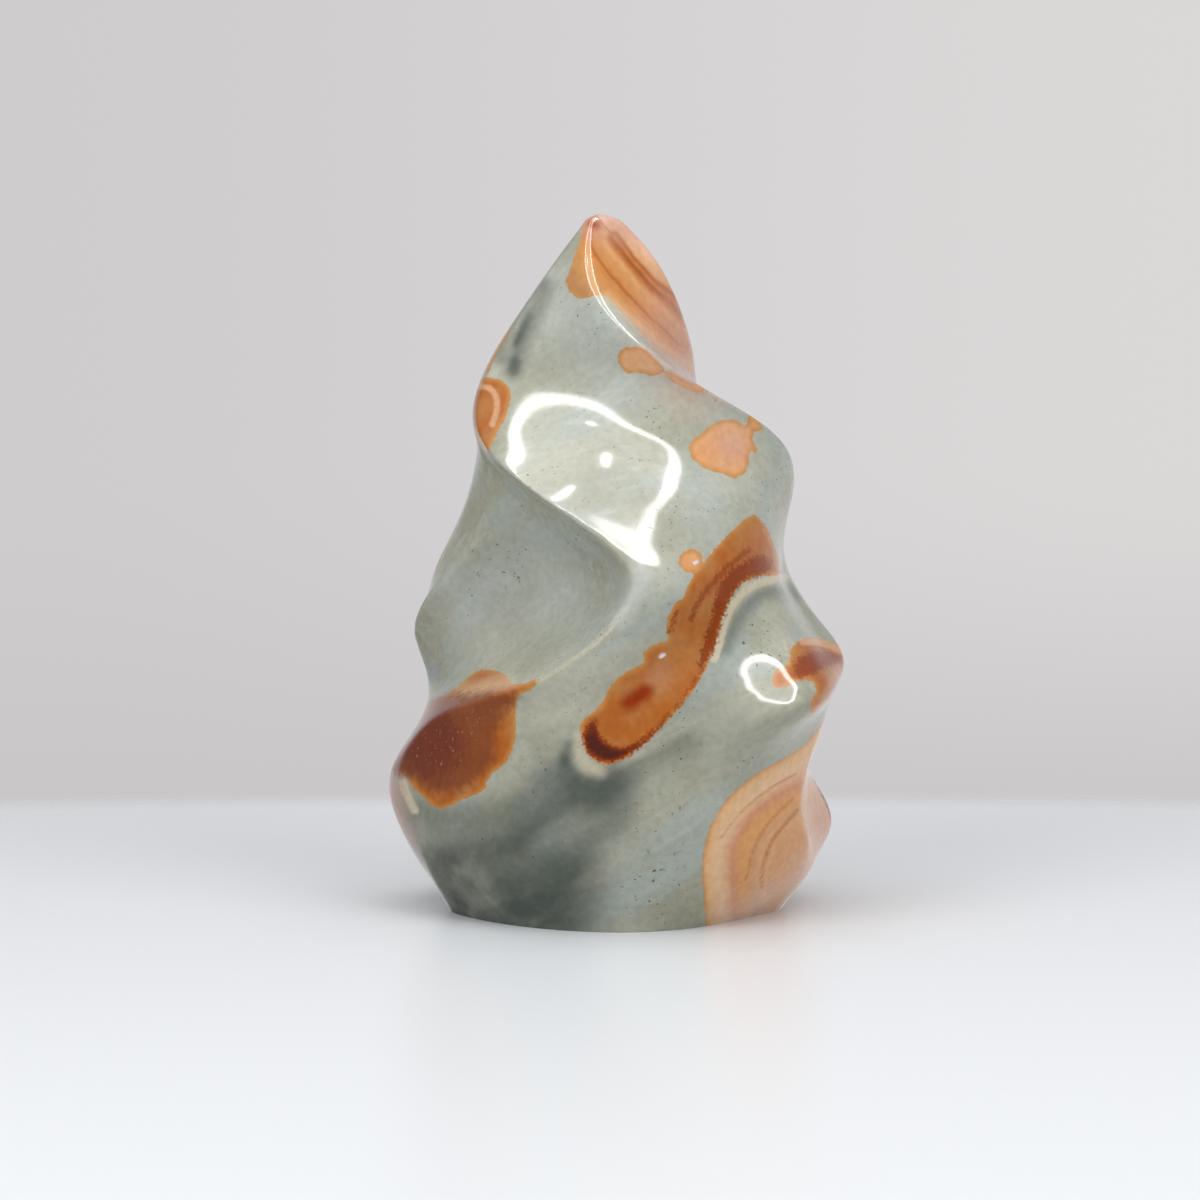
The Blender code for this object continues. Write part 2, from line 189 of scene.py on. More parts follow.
# %% Smooth values between the entries of a table
def eased(table, heights):
    """The table's values at the given heights, with the corners between its entries rounded off."""
    rows = np.array(sorted(table))
    step = 0.25
    fine = np.arange(-15.0, 140.0, step)
    reach = np.arange(-4 * CORNER_ROUNDING, 4 * CORNER_ROUNDING + step, step)
    weights = np.exp(-0.5 * (reach / CORNER_ROUNDING) ** 2)
    weights /= weights.sum()
    columns = []
    for values in rows[:, 1:].T:
        straight = np.interp(fine, rows[:, 0], values)
        rounded = np.convolve(straight, weights, mode="same")
        columns.append(np.interp(heights, fine, rounded))
    return np.array(columns).T


def smooth_swell(distances, share):
    """The smooth curve from ridge to ridge through the distances at equal steps between them."""
    steps = distances.shape[1] + 1
    total = np.zeros(len(distances))
    for index in range(1, steps):
        weight = 1.0
        for other in range(steps + 1):
            if other != index:
                weight *= (share * steps - other) / (index - other)
        total += weight * distances[:, index - 1]
    return total


def round_swells(places, heights):
    """How far the round swells push each point of one column outward."""
    push = np.zeros(len(heights))
    for right, front, height, spread, rise in SWELLS:
        away = (places[:, 0] - right) ** 2 + (places[:, 1] - front) ** 2 + (heights - height) ** 2
        push += rise * np.exp(-away / (2 * spread ** 2))
    return push


print("Left ridge runs across, mm:", round(float(np.ptp(eased(LEFT_RIDGE, RING_HEIGHTS)[:, 0])), 1))

# %% Columns of points
def columns_of_points(heights):
    """Columns of points from the base up, each with the crease of its column at every height."""
    ridges = [eased(ridge, heights) for ridge, _, _, _ in AROUND]
    creases = [eased(crease, heights)[:, 0] for _, crease, _, _ in AROUND]
    columns = []
    for index, (_, _, face, inner) in enumerate(AROUND):
        start = ridges[index]
        end = ridges[(index + 1) % len(AROUND)]
        chord = end - start
        length = np.maximum(np.linalg.norm(chord, axis=1), 1e-6)[:, None]
        outward = np.column_stack((-chord[:, 1], chord[:, 0])) / length
        stand_out = eased(face, heights)
        columns.append((start, creases[index]))
        for number in range(1, inner + 1):
            share = number / (inner + 1)
            swell = smooth_swell(stand_out, share)[:, None]
            places = start + chord * share + outward * swell
            places = places + outward * round_swells(places, heights)[:, None]
            columns.append((places, np.zeros(len(heights))))
    return columns


print("Columns:", len(columns_of_points(np.array(RING_HEIGHTS))))

# %% The closed control mesh
def cage_mesh(name):
    """One ring of faces between each two heights, a tip and a flat base."""
    heights = np.array(RING_HEIGHTS)
    columns = columns_of_points(heights)
    around = len(columns)
    points = []
    for level, height in enumerate(heights):
        for place, _ in columns:
            right, front = place[level]
            points.append((right, -front, height))
    rim_start = len(points)
    lowest = np.array([place[0] for place, _ in columns])
    middle = lowest.mean(axis=0)
    for right, front in lowest:
        inward = middle - (right, front)
        inward *= BASE_RIM / np.linalg.norm(inward)
        points.append((right + inward[0], -(front + inward[1]), 0.0))
    tip = len(points)
    points.append((TIP[0], -TIP[1], TIP[2]))

    faces = []
    for level in range(len(heights) - 1):
        low = level * around
        high = low + around
        for column in range(around):
            after = (column + 1) % around
            faces.append((low + column, low + after, high + after, high + column))
    top = (len(heights) - 1) * around
    for column in range(around):
        after = (column + 1) % around
        faces.append((top + column, top + after, tip))
        faces.append((rim_start + column, rim_start + after, after, column))
    faces.append(tuple(reversed(range(rim_start, rim_start + around))))

    mesh = bpy.data.meshes.new(name)
    mesh.from_pydata([tuple(MM * value for value in point) for point in points], [], faces)
    mesh.update()

    crease = mesh.attributes.new("crease_edge", "FLOAT", "EDGE")
    for edge in mesh.edges:
        first, second = sorted(edge.vertices)
        if second < around and second - first in (1, around - 1):
            crease.data[edge.index].value = 1.0
        elif second < rim_start and second - first == around:
            column = first % around
            level = first // around
            weights = columns[column][1]
            crease.data[edge.index].value = (weights[level] + weights[level + 1]) / 2
    return mesh


print("Rim of the base, mm:", BASE_RIM)

# %% [markdown]
# ## A fine surface from a coarse cage
#
# The cage has about 1,200 points. A Subdivision Surface modifier rounds it, and the crease weights keep
# the ridges crisp. Three rounds leave faces about a millimetre wide, fine enough for lamps to mirror in
# them without corners. The result is kept as a plain mesh, because the markings are measured at its
# points.

# %% Round the cage and keep the result as the stone
FINE_ROUNDS = 3


def fine_stone(name):
    """The rounded stone as a plain mesh object."""
    cage = bpy.data.objects.new("cage", cage_mesh("cage"))
    bpy.context.scene.collection.objects.link(cage)
    rounding = cage.modifiers.new("Rounding", "SUBSURF")
    rounding.levels = FINE_ROUNDS
    rounding.render_levels = FINE_ROUNDS
    bpy.context.view_layer.update()
    seen = cage.evaluated_get(bpy.context.evaluated_depsgraph_get())
    mesh = bpy.data.meshes.new_from_object(seen)
    mesh.name = name
    mesh.shade_smooth()
    bpy.data.objects.remove(cage)
    stone = bpy.data.objects.new(name, mesh)
    bpy.context.scene.collection.objects.link(stone)
    return stone


stone = fine_stone("flame_stone")
print("Fine stone:", len(stone.data.vertices), "points,", len(stone.data.polygons), "faces")

# %% [markdown]
# ## The markings, drawn on a sheet
#
# Jasper's markings are bodies inside the stone. The easy way to draw them is still on a sheet: an upright
# plane through the middle of the stone, seen from in front. Each outline is a loop of a few points,
# (right, up) in millimetres, joined by a smooth curve. A point of the stone lies in a marking where its
# place on the sheet is inside the loop and it isn't too far back.

# %% Outlines of the orange patches
# Where the sheet is seen from: right, in front, up
EYE_PLACE = (-3.5, 650, 106.2)

BAND = (
    (22.6, 68.6), (24.8, 67.5), (26.4, 64.4), (27.8, 60.5), (27.7, 58.3), (23.8, 57.9), (20.7, 56.2),
    (18.3, 52.2), (16.9, 46.9), (15, 42), (12.6, 37.8), (9.1, 33.6), (4.9, 29.4), (0.3, 25.8), (-2.5, 25.1),
    (-5.2, 26.4), (-6.6, 29), (-7, 31.7), (-5.9, 33.4), (-3.5, 35.3), (-2.1, 38), (0.3, 40.8), (4, 42.7),
    (4.3, 44.8), (6.1, 46.2), (8.4, 46.9), (8, 49), (9, 52.5), (11.1, 54.6), (12.2, 57.4), (14.6, 60.5),
    (17.5, 64),
)
TIP_PATCH = (
    (-6.4, 118.7), (-7.3, 115.6), (-8.3, 112.4), (-9.4, 109.1), (-8.5, 107.2), (-6.6, 106.3), (-3, 106.7),
    (0.3, 103.9), (3.4, 100.5), (7.2, 97.2), (12.1, 93.7), (14.9, 91.5), (20.8, 91.5), (19, 106),
    (12, 119.8), (3.4, 125.8), (-3.5, 125.8), (-7.8, 123.2),
)
TEARDROP = (
    (-23.3, 92.5), (-20.8, 92.2), (-19.3, 90.8), (-19.1, 89), (-19.8, 85.9), (-21.2, 83.2), (-22.4, 80.9),
    (-23.1, 79.5), (-24.3, 81.2), (-26.1, 83.5), (-28.7, 87), (-28.6, 91.3), (-25.7, 92.7),
)
SADDLE_SPOT = (
    (-0.4, 95.6), (0.3, 97.4), (2.2, 98), (4.5, 97.4), (6.4, 95.5), (7.6, 93.9), (5.9, 92.9), (3.4, 93.4),
    (1, 93.5),
)
SHOULDER_SPOT = (
    (17.8, 85.2), (19.7, 85.2), (21.8, 84.4), (22.7, 86.1), (24.6, 84.5), (24.6, 83.5), (23.2, 83.3),
    (23.1, 81.6), (23.8, 79.7), (22.5, 79.7), (22, 76.6), (20, 75.2), (17.7, 76), (14.6, 76.9),
    (12.5, 78.8), (12.1, 81.2), (14.2, 82.8), (15.8, 84.4),
)
CORNER_PATCH = (
    (26.6, 40), (27.6, 42), (29.3, 42.7), (29.8, 45.2), (31.4, 46.9), (33.5, 47.3), (35.9, 46.9),
    (38.7, 45.9), (41.1, 44.8), (41.2, 38.1), (37.5, 36.4), (35.3, 35.3), (33.5, 33.9), (33.3, 35.9),
    (34.2, 38.1), (33.3, 39.7), (30.9, 39.7), (28.6, 38.6), (27, 38.8),
)
FOOT_PATCH = (
    (37.5, 33.8), (34.7, 31.3), (31.4, 27.8), (25.5, 24.4), (21.3, 21.4), (18.4, 18.5), (15.9, 14.2),
    (14.7, 10), (14.5, 4.7), (15.1, -3.3), (16.2, -30), (90, -30), (90, 60), (60, 48),
)
BULGE_PATCH = (
    (-23, 41.8), (-20.4, 41), (-18.5, 39.2), (-16.4, 39.4), (-14.1, 40.1), (-15.4, 38.3), (-18, 36.9),
    (-18.2, 33.6), (-18.5, 29), (-20.1, 25.3), (-22.6, 23.2), (-23.8, 20.6), (-27.1, 19), (-31.3, 17.2),
    (-33.6, 18.6), (-36, 20.9), (-38.5, 23.7), (-42.8, 24.4), (-43.3, 30.2), (-36.7, 34.3), (-31.4, 36.9),
    (-28.5, 38.5), (-25.8, 41),
)
print("Points drawn for the long band:", len(BAND))

# %% Outlines of the rust-red and maroon parts
BAND_RUST = (
    (23.8, 61.6), (25.6, 61.4), (26.4, 60.2), (25.7, 58.6), (22.1, 57.7), (19.7, 55), (18.1, 51.5),
    (16.9, 46.9), (14.6, 42), (13.8, 42.7), (14.6, 46.6), (15.8, 50.4), (16.5, 53.9), (17.7, 57.4),
    (20.5, 60),
)
BAND_END = (
    (-4, 33.6), (-5.9, 31.7), (-6.5, 29.2), (-5.2, 26.7), (-2.5, 25.3), (0.3, 26), (3.5, 28), (6.6, 30.9),
    (8.2, 33.2), (5.6, 30.9), (2.8, 29), (-0.4, 28.1), (-2.8, 29.4), (-4, 31.5),
)
CORNER_RUST = (
    (30.3, 42), (30.9, 43.6), (32.8, 44.6), (35.6, 44.8), (38, 44.1), (40.4, 43.4), (37, 42.4),
    (34.9, 41.5), (32.4, 40.6), (30.9, 40.4),
)
BULGE_RUST = (
    (-18.9, 36.9), (-21, 34.3), (-22.2, 30.2), (-22.7, 26.7), (-24.8, 23.7), (-28.9, 20.9), (-33.2, 21.3),
    (-36.7, 23.7), (-42.8, 25.1), (-42.3, 31.1), (-36.7, 33.9), (-31.4, 36.2), (-26.2, 36.9),
)
BULGE_MAROON = (
    (-43.3, 29), (-37.6, 32.5), (-31.8, 34.6), (-28.8, 32.5), (-27.6, 28.5), (-28.7, 25), (-32, 22.7),
    (-35.8, 23.6), (-39.3, 25.1), (-43.4, 25.1),
)
print("Points drawn for the bulge's rust:", len(BULGE_RUST))

# %% [markdown]
# ## Streaks, rims and eyes
#
# Thin markings are easier as a line with a half-width than as a loop: cream rims, orange streaks, red
# spots, quartz dots, the arcs at the foot and the scratches in the band. A cloud is such a line with a
# soft edge. Not every line is a marking: one cream line is a painted highlight, the pale clouds are
# painted light, some dark clouds are partly painted shade and one rose cloud is partly a painted
# reflection. Each entry is a line on the sheet, a half-width, and for the clouds a strength.

# %% Lines on the sheet
CREAM_AND_GLINT_LINES = (
    (((28.5, 57.9), (25.7, 57.3), (22.4, 56), (20.1, 53.6), (18.4, 50.4), (17.4, 46.5), (16.4, 43.5)), 0.65),
    (((-24.7, 91.1), (-22.7, 90.8), (-21.5, 89.2), (-21.4, 87), (-22.2, 84.5)), 0.5),
    (((31.9, 46.6), (35.2, 46.4), (38.7, 45)), 0.6),
    (((-38.1, 22), (-37.3, 19.7), (-35.9, 17)), 0.7),
    (((28.4, 46.9), (29.1, 44.8), (29.5, 42.7)), 0.15),
    # Painted highlight: this thin pale line along the crest below the nose is the lamp's glint on that edge.
    (((-14.3, 39.4), (-8.7, 43.1), (-3.5, 46.9), (-0.4, 50.4), (1.9, 53.9)), 0.2),
)
CREAM_CLOUDS = (
    (((28.5, 57.6), (25.7, 57), (22.3, 55.4), (20, 53), (18.4, 50), (17.2, 46)), 0.8, 0.5),
    (((-7.2, 29.5), (-7.2, 27), (-5.8, 24.8), (-3.6, 23.9)), 1.1, 0.75),
    (((-27, 37.8), (-23, 39), (-19.5, 39.6)), 1.2, 0.6),
    (((-2.5, 106.3), (2, 102.5), (6.9, 98.2), (12.8, 93.9)), 0.9, 0.75),
)
ORANGE_LINES = (
    (((12.3, 60.7), (12.4, 60.7)), 2),
    (((8.3, 93.2), (10.7, 91.6), (13.8, 90.6)), 0.6),
    (((-19.3, 100.8), (-21.3, 97.4), (-23.3, 93.5)), 0.3),
)
RED_SPOTS = (
    (((1.6, 35.9), (4.4, 37.8)), 1.4),
    (((-4.9, 119.2), (-4.2, 118.8)), 0.4),
)
QUARTZ_DOTS = (
    (((7.2, 44), (7.5, 44.3)), 0.45),
    (((13, 60.4), (13.3, 60.5)), 0.35),
)
FOOT_ARCS = (
    (((24.8, 3.2), (25, 6.5), (26.6, 11.5), (31, 17)), 0.3),
    (((22, 4.5), (23.2, 9.4), (25.8, 14.5), (30.2, 19)), 0.18),
    (((17.6, 12), (21.5, 17), (26.5, 21), (31, 23.5)), 0.12),
)
SCRATCH_LINES = (
    (((22.4, 62.6), (18, 59), (14.2, 54.4), (12.2, 50.4)), 0.5),
    (((9.9, 51.8), (8.6, 48.2)), 0.45),
    (((14.4, 42), (11.2, 36.8), (7.8, 33), (4.2, 29.6)), 0.35),
)
STRIPE_LINE = ((-1.1, 116.7), (1.2, 113.6), (4.3, 110.1), (7.7, 106.8), (12.1, 102.2))
DARK_CLOUDS_AND_SHADE = (
    (((29.9, 55.3), (26.1, 55.6), (23.3, 54.3), (20.9, 51.6), (19.2, 49), (17.8, 46)), 1.6, 0.6),
    (((-8.7, 28.2), (-9.3, 25.4), (-8.2, 22.9)), 1.3, 0.9),
    (((-9.8, 25.6), (-10.1, 22.4)), 1, 0.8),
    (((-11.5, 22.5), (-5, 20)), 3, 0.7),
    (((-13, 108.1), (-15.3, 102.9), (-17.4, 98.2), (-18.6, 93.9)), 1.5, 0.6),
    (((-18.2, 95.2), (-18.5, 93.9)), 0.9, 0.9),
    (((-15.8, 103.5), (-18, 98.5)), 0.6, 0.7),
    (((-17.3, 106), (-19.8, 100.5), (-21, 96)), 1, 0.45),
    (((-6, 21), (0, 22.6), (6, 25.6), (12, 29)), 1.6, 0.28),
    (((2, 25), (7, 27), (12, 30)), 0.5, 0.22),
    # Partly painted shade: the large dark clouds low on the left are the stone's darker patches and also the
    # shade that falls on the lower body.
    (((-33.3, 7.3), (-21, 10), (-10.5, 17), (-1, 21.6)), 3.6, 0.85),
    (((-31.5, 1.1), (-17.5, 4.7), (-7.3, 11.6), (-1, 16)), 3.6, 0.62),
    (((-26.3, -3.3), (-15, -1.5), (-11.3, 2.2), (-8, 5)), 5, 0.9),
    (((-35, 16.2), (-29.7, 15.3), (-21, 16.7), (-14, 20.6)), 2.6, 0.5),
    (((-30, 2), (-18, 0), (-10, -2.5)), 6.5, 0.75),
    # Painted shade: two faint wide dark clouds darken the lower right front, where less light falls.
    (((3, 46), (10.5, 38), (15, 33)), 7.5, 0.16),
    (((14, 36.4), (21, 33)), 8, 0.14),
)
# Painted light: the wide pale clouds lighten the upper face, the middle of the scoop and the face right of
# the loop, where more light falls; the narrow last one is a painted highlight running from the loop down to
# the nose.
PAINTED_LIGHT_CLOUDS = (
    (((-9, 103.5), (-3.5, 100), (2, 96.5)), 7, 0.42),
    (((15.5, 71.3), (18.8, 66.1), (20, 62)), 5.5, 0.28),
    (((-25, 54), (-17.4, 56), (-10.5, 54)), 7, 0.38),
    (((4.2, 66), (4, 61.8), (3.2, 57.5), (2, 54), (0, 50.8)), 1.6, 0.5),
)
ROSE_AND_SHEEN_CLOUDS = (
    (((12, 101), (14, 96)), 7, 0.8),
    (((-4.5, 120), (2, 119)), 3, 0.7),
    (((19.2, 81.2), (19.6, 80.6)), 2.6, 0.7),
    (((6.5, 40.2), (7.5, 41.2)), 2, 0.2),
    (((-42, 24), (-40.2, 15), (-38.2, 6), (-36.4, 0)), 2.7, 0.95),
    # Partly painted reflection: the right lower facet's rose is the stone's colour, and its pale look is a
    # painted reflection of the bright room at a grazing angle.
    (((38, 24), (37.5, 14)), 3.4, 0.8),
)
print("Clouds drawn:", len(DARK_CLOUDS_AND_SHADE) + len(PAINTED_LIGHT_CLOUDS) + len(ROSE_AND_SHEEN_CLOUDS))

# %% [markdown]
# ## Bodies at the back
#
# A picture of the front doesn't show the back, so its markings are made up in the same spirit: egg-shaped
# bodies in the stone with a darker core, bent a little by waves.

# %% Egg-shaped bodies: middle (right, front, up), then half-sizes
BACK_BODIES = (
    ((10, -28, 60), (12, 15, 7)),
    ((-20, -27, 36), (15, 12, 6)),
    ((-27, -22, 27), (6, 9, 9)),
    ((14, -12, 104), (8, 9, 14)),
    ((34, -16, 44), (9, 8, 8)),
    ((-30, -6, 60), (6, 6, 9)),
    ((10, -34, 12), (20, 10, 5)),
    ((36, -12, 14), (12, 14, 16)),
    ((-14, -22, 88), (4, 8, 9)),
)
CORE_SHARE = 0.5
BODY_BEND = 1.5
print("Bodies at the back:", len(BACK_BODIES))

# %% [markdown]
# ## How deep does a point lie in a marking?
#
# An image of the markings would have pixels and stretch on steep faces. A distance is better: each point
# of the mesh keeps how many millimetres it lies inside a marking's edge. A shader can then cut a crisp
# edge at 0 mm, a rim from 0 to 1 mm, or bands that follow the outline. Drawn markings end at a wavy
# upright sheet inside the stone, so that no straight cut shows from the side.

# %% Curves through the drawn points
CURVE_STEPS = 6
# A point further from a marking than the margin counts as far outside
MARGIN = 9.0
FAR_OUTSIDE = -20.0
BACK_WAVE = 1.6


def smooth_curve(points, closed):
    """A Catmull-Rom curve through the points, as a fine row of places."""
    given = np.array(points, dtype=float)
    if closed:
        ring = np.vstack((given[-1:], given, given[:2]))
    else:
        ring = np.vstack((2 * given[:1] - given[1:2], given, 2 * given[-1:] - given[-2:-1]))
    places = []
    for index in range(len(ring) - 3):
        before, start, end, after = ring[index:index + 4]
        for step in range(CURVE_STEPS):
            t = step / CURVE_STEPS
            places.append(0.5 * (
                2 * start + (end - before) * t + (2 * before - 5 * start + 4 * end - after) * t ** 2
                + (3 * start - before - 3 * end + after) * t ** 3
            ))
    if not closed:
        places.append(given[-1])
    return np.array(places)


def distance_to_curve(places, curve, closed):
    """The distance from each place to the curve, and whether the nearest stretch has it on its left."""
    ends = np.roll(curve, -1, axis=0) if closed else curve[1:]
    starts = curve if closed else curve[:-1]
    nearest = np.full(len(places), np.inf)
    left = np.zeros(len(places), dtype=bool)
    for start, end in zip(starts, ends):
        along = end - start
        away = places - start
        share = np.clip(away @ along / max(along @ along, 1e-9), 0.0, 1.0)
        gap = np.linalg.norm(away - share[:, None] * along, axis=1)
        closer = gap < nearest
        nearest[closer] = gap[closer]
        side = along[0] * away[:, 1] - along[1] * away[:, 0] > 0
        left[closer] = side[closer]
    return nearest, left


def is_inside(places, loop):
    """Whether each place lies inside the loop, by counting the crossings to its right."""
    odd = np.zeros(len(places), dtype=bool)
    for start, end in zip(loop, np.roll(loop, -1, axis=0)):
        spans = (start[1] > places[:, 1]) != (end[1] > places[:, 1])
        rise = end[1] - start[1]
        if rise != 0:
            crossing = start[0] + (places[:, 1] - start[1]) * (end[0] - start[0]) / rise
            odd ^= spans & (places[:, 0] < crossing)
    return odd


print("Curve through the band:", len(smooth_curve(BAND, True)), "places")

# %% Places on the sheet
coordinates = np.empty(len(stone.data.vertices) * 3)
stone.data.vertices.foreach_get("co", coordinates)
surface = coordinates.reshape(-1, 3) / MM
front = -surface[:, 1]
scale = EYE_PLACE[1] / (EYE_PLACE[1] - front)
sheet = np.column_stack((
    EYE_PLACE[0] + (surface[:, 0] - EYE_PLACE[0]) * scale,
    EYE_PLACE[2] + (surface[:, 2] - EYE_PLACE[2]) * scale,
))


def near(curve, margin=MARGIN):
    """The points whose places on the sheet are close to the curve."""
    low = curve.min(axis=0) - margin
    high = curve.max(axis=0) + margin
    return np.all((sheet > low) & (sheet < high), axis=1)


print("Points on the sheet:", len(sheet))

# %% Depths inside loops, lines, clouds and egg-shaped bodies
def back_limit(back):
    """How far each point lies before a wavy upright sheet, where the drawn markings end in the stone."""
    height = surface[:, 2]
    return front - back + BACK_WAVE * (np.sin(height / 4.3 + back) + 0.5 * np.sin(height / 1.9))


def patch_depth(outline, back=-2.0):
    """How deep each point lies inside a drawn loop that reaches back to the given front coordinate."""
    loop = smooth_curve(outline, True)
    chosen = near(loop)
    gap, _ = distance_to_curve(sheet[chosen], loop, True)
    depth = np.full(len(sheet), FAR_OUTSIDE)
    depth[chosen] = np.where(is_inside(sheet[chosen], loop), gap, -gap)
    return np.minimum(depth, back_limit(back))


def line_depth(points, half_width, back=-2.0):
    """How deep each point lies inside a thick line."""
    curve = smooth_curve(points, False)
    chosen = near(curve, MARGIN + 2 * half_width)
    gap, _ = distance_to_curve(sheet[chosen], curve, False)
    depth = np.full(len(sheet), FAR_OUTSIDE)
    depth[chosen] = half_width - gap
    return np.minimum(depth, back_limit(back))


def deepest_line(entries, back=-2.0):
    """How deep each point lies inside any of the lines."""
    return np.maximum.reduce([line_depth(points, half_width, back) for points, half_width in entries])


def cloud(entries):
    """The joined strength of soft-edged lines, from 0 to 1."""
    clear = np.ones(len(sheet))
    for points, half_width, strength in entries:
        depth = line_depth(points, half_width, back=-12.0)
        share = np.clip(depth / half_width + 1.0, 0.0, 2.0) / 2.0
        clear *= 1.0 - strength * share * share * (3.0 - 2.0 * share)
    return 1.0 - clear


def body_depth(middle, half_sizes, share=1.0):
    """How deep each point lies inside an egg-shaped body that is bent a little by its place."""
    place = np.column_stack((surface[:, 0], front, surface[:, 2]))
    bend = np.column_stack((
        np.sin(place[:, 2] / 3.1) + np.sin(place[:, 1] / 4.7),
        np.sin(place[:, 2] / 5.3) + np.sin(place[:, 0] / 2.9),
        np.sin(place[:, 0] / 3.7) + np.sin(place[:, 0] / 1.7 + place[:, 1] / 6.1),
    ))
    reach = np.linalg.norm((place + BODY_BEND * bend - middle) / half_sizes, axis=1)
    return (share - reach) * min(half_sizes)


print("Points measured:", len(sheet))

# %% Keep the depths on the stone's points
tip = patch_depth(TIP_PATCH, back=-6.0)
foot = patch_depth(FOOT_PATCH, back=-16.0)
pale_patches = np.maximum.reduce([tip, foot, patch_depth(SADDLE_SPOT), patch_depth(SHOULDER_SPOT)])
deep_patches = np.maximum.reduce([
    patch_depth(BAND),
    patch_depth(TEARDROP, back=1.0),
    patch_depth(CORNER_PATCH, back=-9.0),
    patch_depth(BULGE_PATCH, back=-12.0),
])
orange_lines = deepest_line(ORANGE_LINES, back=4.0)
back_bodies = np.maximum.reduce([body_depth(middle, sizes) for middle, sizes in BACK_BODIES])
back_cores = np.maximum.reduce([body_depth(middle, sizes, CORE_SHARE) for middle, sizes in BACK_BODIES])
stripe_gap, stripe_left = distance_to_curve(sheet, smooth_curve(STRIPE_LINE, False), False)

DEPTHS = {
    "orange_mm": np.maximum.reduce([pale_patches, deep_patches, orange_lines, back_bodies]),
    "pale_mm": np.maximum(pale_patches, orange_lines),
    "foot_mm": foot,
    "rust_mm": np.maximum.reduce([patch_depth(BAND_RUST), patch_depth(CORNER_RUST, back=-6.0), back_cores]),
    "maroon_mm": patch_depth(BAND_END),
    "bulge_rust_mm": patch_depth(BULGE_RUST, back=-6.0),
    "bulge_maroon_mm": patch_depth(BULGE_MAROON, back=-6.0),
    "red_mm": deepest_line(RED_SPOTS),
    "scratch_mm": deepest_line(SCRATCH_LINES),
    "arc_mm": deepest_line(FOOT_ARCS, back=-20.0),
    "quartz_mm": deepest_line(QUARTZ_DOTS),
    "cream_and_glint_mm": deepest_line(CREAM_AND_GLINT_LINES),
    "tip_mm": tip,
    "across_mm": np.where(stripe_left, stripe_gap, -stripe_gap),
    # dark clouds, partly painted shade
    "cloud": cloud(DARK_CLOUDS_AND_SHADE),
    "rose": cloud(ROSE_AND_SHEEN_CLOUDS),
    "halo": cloud(CREAM_CLOUDS),
    # painted light and a painted highlight
    "pale": cloud(PAINTED_LIGHT_CLOUDS),
}
for name, values in DEPTHS.items():
    stone.data.attributes.new(name, "FLOAT", "POINT").data.foreach_set("value", values.astype(np.float32))
    print(name, "from", round(float(values.min()), 1), "to", round(float(values.max()), 1))

# %% [markdown]
# ## Small tools for shader nodes
#
# A material is a graph of nodes. Writing each link by hand is long, so a few helpers add a node with its
# inputs, lay one colour over another and lay a row of colours along a value.

# %% Helpers that add nodes
def add_node(tree, kind, feeds, **settings):
    """A new node. Each feed is a plain value or another node's output."""
    node = tree.nodes.new(kind)
    for name, value in settings.items():
        setattr(node, name, value)
    for socket, feed in feeds.items():
        if isinstance(feed, bpy.types.NodeSocket):
            tree.links.new(feed, node.inputs[socket])
        else:
            node.inputs[socket].default_value = feed
    return node


def kept_depth(tree, name):
    """The value that was kept on the stone's points under this name."""
    return add_node(tree, "ShaderNodeAttribute", {}, attribute_name=name).outputs["Fac"]


def mixed(tree, share, first, second):
    """The first colour where the share is 0, the second where it is 1."""
    return add_node(tree, "ShaderNodeMix", {0: share, 6: first, 7: second}, data_type="RGBA").outputs[2]


def calculated(tree, operation, first, second):
    """One step of arithmetic with two values."""
    return add_node(tree, "ShaderNodeMath", {0: first, 1: second}, operation=operation).outputs[0]


def laid(tree, under, over, mask, strength=1.0):
    """One colour laid over another where the mask is, as far as the strength says."""
    return mixed(tree, calculated(tree, "MULTIPLY", mask, strength), under, over)


def spread_out(tree, value, low, high):
    """The value brought from the range low to high to the range 0 to 1, with soft ends."""
    feeds = {"Value": value, "From Min": low, "From Max": high}
    return add_node(tree, "ShaderNodeMapRange", feeds, interpolation_type="SMOOTHSTEP").outputs[0]


print("Node helpers ready")

# %% Helpers for places, noise and rows of colour
def stone_place(tree):
    """The place in the stone in millimetres."""
    place = tree.nodes.new("ShaderNodeTexCoord").outputs["Object"]
    return add_node(tree, "ShaderNodeVectorMath", {0: place, 3: 1 / MM}, operation="SCALE").outputs[0]


def noise(tree, place, per_mm, detail=3.0):
    """Plain noise from 0 to 1 at a fineness given in bumps per millimetre."""
    feeds = {"Vector": place, "Scale": per_mm, "Detail": detail}
    return add_node(tree, "ShaderNodeTexNoise", feeds).outputs[0]


def colour_row(tree, value, stops):
    """Colours laid along a value: each stop is a value and its colour."""
    low = stops[0][0]
    reach = stops[-1][0] - low
    share = calculated(tree, "DIVIDE", calculated(tree, "SUBTRACT", value, low), reach)
    ramp = add_node(tree, "ShaderNodeValToRGB", {0: share})
    elements = ramp.color_ramp.elements
    for number, (place, colour) in enumerate(stops):
        element = elements[number] if number < 2 else elements.new(1.0)
        element.position = (place - low) / reach
        element.color = (*colour, 1.0)
    return ramp.outputs[0]


print("Place, noise and colour row ready")

# %% [markdown]
# ## Ragged edges
#
# Fine grains eat the edge of every marking in stone. Moving the depth up and down by a little noise before
# it is cut gives that. Many markings need it, each with its own grain, so it is a node group with named
# inputs.

# %% The ragged edge group
# Noise stays near the middle of its range, so its swing is stretched
SWING_STRETCH = 4.0


